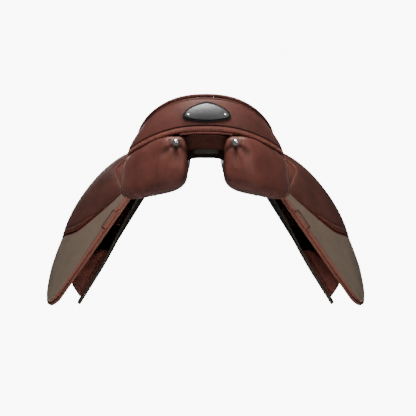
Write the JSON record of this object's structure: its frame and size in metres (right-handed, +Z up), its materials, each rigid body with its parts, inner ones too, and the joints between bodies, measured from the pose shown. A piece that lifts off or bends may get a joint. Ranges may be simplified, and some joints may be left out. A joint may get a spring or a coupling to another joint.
{
  "type": "jumping saddle",
  "caption": "Jumping saddle on a spring tree, with lifting flaps, padded sweat flaps, stirrup bars with catches, girth straps and breastplate dees.",
  "frame": {"origin": "on the midline below the waist of the seat, level with the underside of the rear panels", "axes": "+X to the rider's right, +Y forward to the pommel, +Z up; the picture looks along +Y"},
  "size_m": [0.6194, 0.5338, 0.3778],
  "materials": {
    "seat_leather": "satin",
    "piping_leather": "satin",
    "cantle_leather": "satin",
    "panel_leather": "satin",
    "flap_leather": "satin",
    "knee_pad_leather": "satin",
    "grained_cover": "matte",
    "keeper_leather": "satin",
    "sweat_leather": "matte",
    "calf_leather": "satin",
    "block_fabric": "matte",
    "strap_leather": "satin",
    "guard_leather": "satin",
    "canvas": "matte",
    "foam": "matte",
    "tree_wood": "satin",
    "spring_steel": "satin",
    "bar_steel": "satin",
    "badge_black": "satin",
    "badge_metal": "satin",
    "bright_metal": "polished"
  },
  "bodies": {
    "saddle": {"seat_cover": "seat_leather", "seat_piping": "piping_leather", "cantle_welt": "piping_leather", "cantle_facing": "cantle_leather", "panel_left": "panel_leather", "panel_right": "panel_leather", "gullet_lining": "panel_leather", "head_facing": "panel_leather", "girth_keeper_left": "keeper_leather", "girth_keeper_right": "keeper_leather", "point_pockets": "keeper_leather", "sweat_flap_left": "sweat_leather", "sweat_flap_right": "sweat_leather", "calf_block_left": "calf_leather", "calf_block_right": "calf_leather", "block_fabric_left": "block_fabric", "block_fabric_right": "block_fabric", "knee_block_left": "block_fabric", "knee_block_right": "block_fabric", "seat_canvas": "canvas", "billet_webs_left": "canvas", "billet_webs_right": "canvas", "seat_foam": "foam", "tree_frame": "tree_wood", "tree_head": "tree_wood", "gullet_plate": "spring_steel", "spring_steels": "spring_steel", "stirrup_bar_left": "bar_steel", "stirrup_bar_right": "bar_steel", "bar_rivets": "bar_steel", "badge_surround": "badge_black", "badge_plate": "badge_metal", "badge_rivets": "bright_metal", "panel_nails": "bright_metal", "pommel_nails": "bright_metal", "dee_staples": "bright_metal"},
    "flap_left": {"flap_left": "flap_leather", "flap_grip_left": "grained_cover", "knee_pad_left": "knee_pad_leather", "leather_keeper_left": "keeper_leather"},
    "skirt_left": {"skirt_left": "flap_leather"},
    "bar_catch_left": {"bar_catch_left": "bar_steel"},
    "girth_straps_left": {"billets_left": "strap_leather"},
    "buckle_guard_left": {"buckle_guard_left": "guard_leather"},
    "dee_ring_left": {"dee_ring_left": "bright_metal"},
    "flap_right": {"flap_right": "flap_leather", "flap_grip_right": "grained_cover", "knee_pad_right": "knee_pad_leather", "leather_keeper_right": "keeper_leather"},
    "skirt_right": {"skirt_right": "flap_leather"},
    "bar_catch_right": {"bar_catch_right": "bar_steel"},
    "girth_straps_right": {"billets_right": "strap_leather"},
    "buckle_guard_right": {"buckle_guard_right": "guard_leather"},
    "dee_ring_right": {"dee_ring_right": "bright_metal"}
  },
  "joints": [
    {"name": "flap_lift_right", "type": "hinge", "parent": "saddle", "child": "flap_right", "pos_m": [0.0813, 0, 0.0874], "axis": [0, -0.996, -0.0896], "range_deg": [0, 50]},
    {"name": "flap_lift_left", "type": "hinge", "parent": "saddle", "child": "flap_left", "pos_m": [-0.0813, 0, 0.0874], "axis": [0, 0.996, 0.0896], "range_deg": [0, 50]},
    {"name": "skirt_lift_right", "type": "hinge", "parent": "flap_right", "child": "skirt_right", "pos_m": [0.0813, 0, 0.0874], "axis": [0, -0.996, -0.0896], "range_deg": [0, 35]},
    {"name": "skirt_lift_left", "type": "hinge", "parent": "flap_left", "child": "skirt_left", "pos_m": [-0.0813, 0, 0.0874], "axis": [0, 0.996, 0.0896], "range_deg": [0, 35]},
    {"name": "catch_turn_right", "type": "hinge", "parent": "saddle", "child": "bar_catch_right", "pos_m": [0.1125, 0.067, 0.0537], "axis": [-0.848, 0, -0.5299], "range_deg": [0, 80]},
    {"name": "catch_turn_left", "type": "hinge", "parent": "saddle", "child": "bar_catch_left", "pos_m": [-0.1125, 0.067, 0.0537], "axis": [-0.848, 0, 0.5299], "range_deg": [0, 80]},
    {"name": "straps_lift_right", "type": "hinge", "parent": "saddle", "child": "girth_straps_right", "pos_m": [0.10886, 0, 0.0315], "axis": [0, -1, 0], "range_deg": [0, 6]},
    {"name": "straps_lift_left", "type": "hinge", "parent": "saddle", "child": "girth_straps_left", "pos_m": [-0.10886, 0, 0.0315], "axis": [0, 1, 0], "range_deg": [0, 6]},
    {"name": "guard_slide_right", "type": "slide", "parent": "girth_straps_right", "child": "buckle_guard_right", "axis": [0.5299, 0, -0.848], "range_m": [-0.015, 0.1]},
    {"name": "guard_slide_left", "type": "slide", "parent": "girth_straps_left", "child": "buckle_guard_left", "axis": [-0.5299, 0, -0.848], "range_m": [-0.015, 0.1]},
    {"name": "dee_swing_right", "type": "hinge", "parent": "saddle", "child": "dee_ring_right", "pos_m": [0.044, 0.21392, 0.1], "axis": [1, 0, 0], "range_deg": [0, 95]},
    {"name": "dee_swing_left", "type": "hinge", "parent": "saddle", "child": "dee_ring_left", "pos_m": [-0.044, 0.21392, 0.1], "axis": [1, 0, 0], "range_deg": [0, 95]}
  ]
}
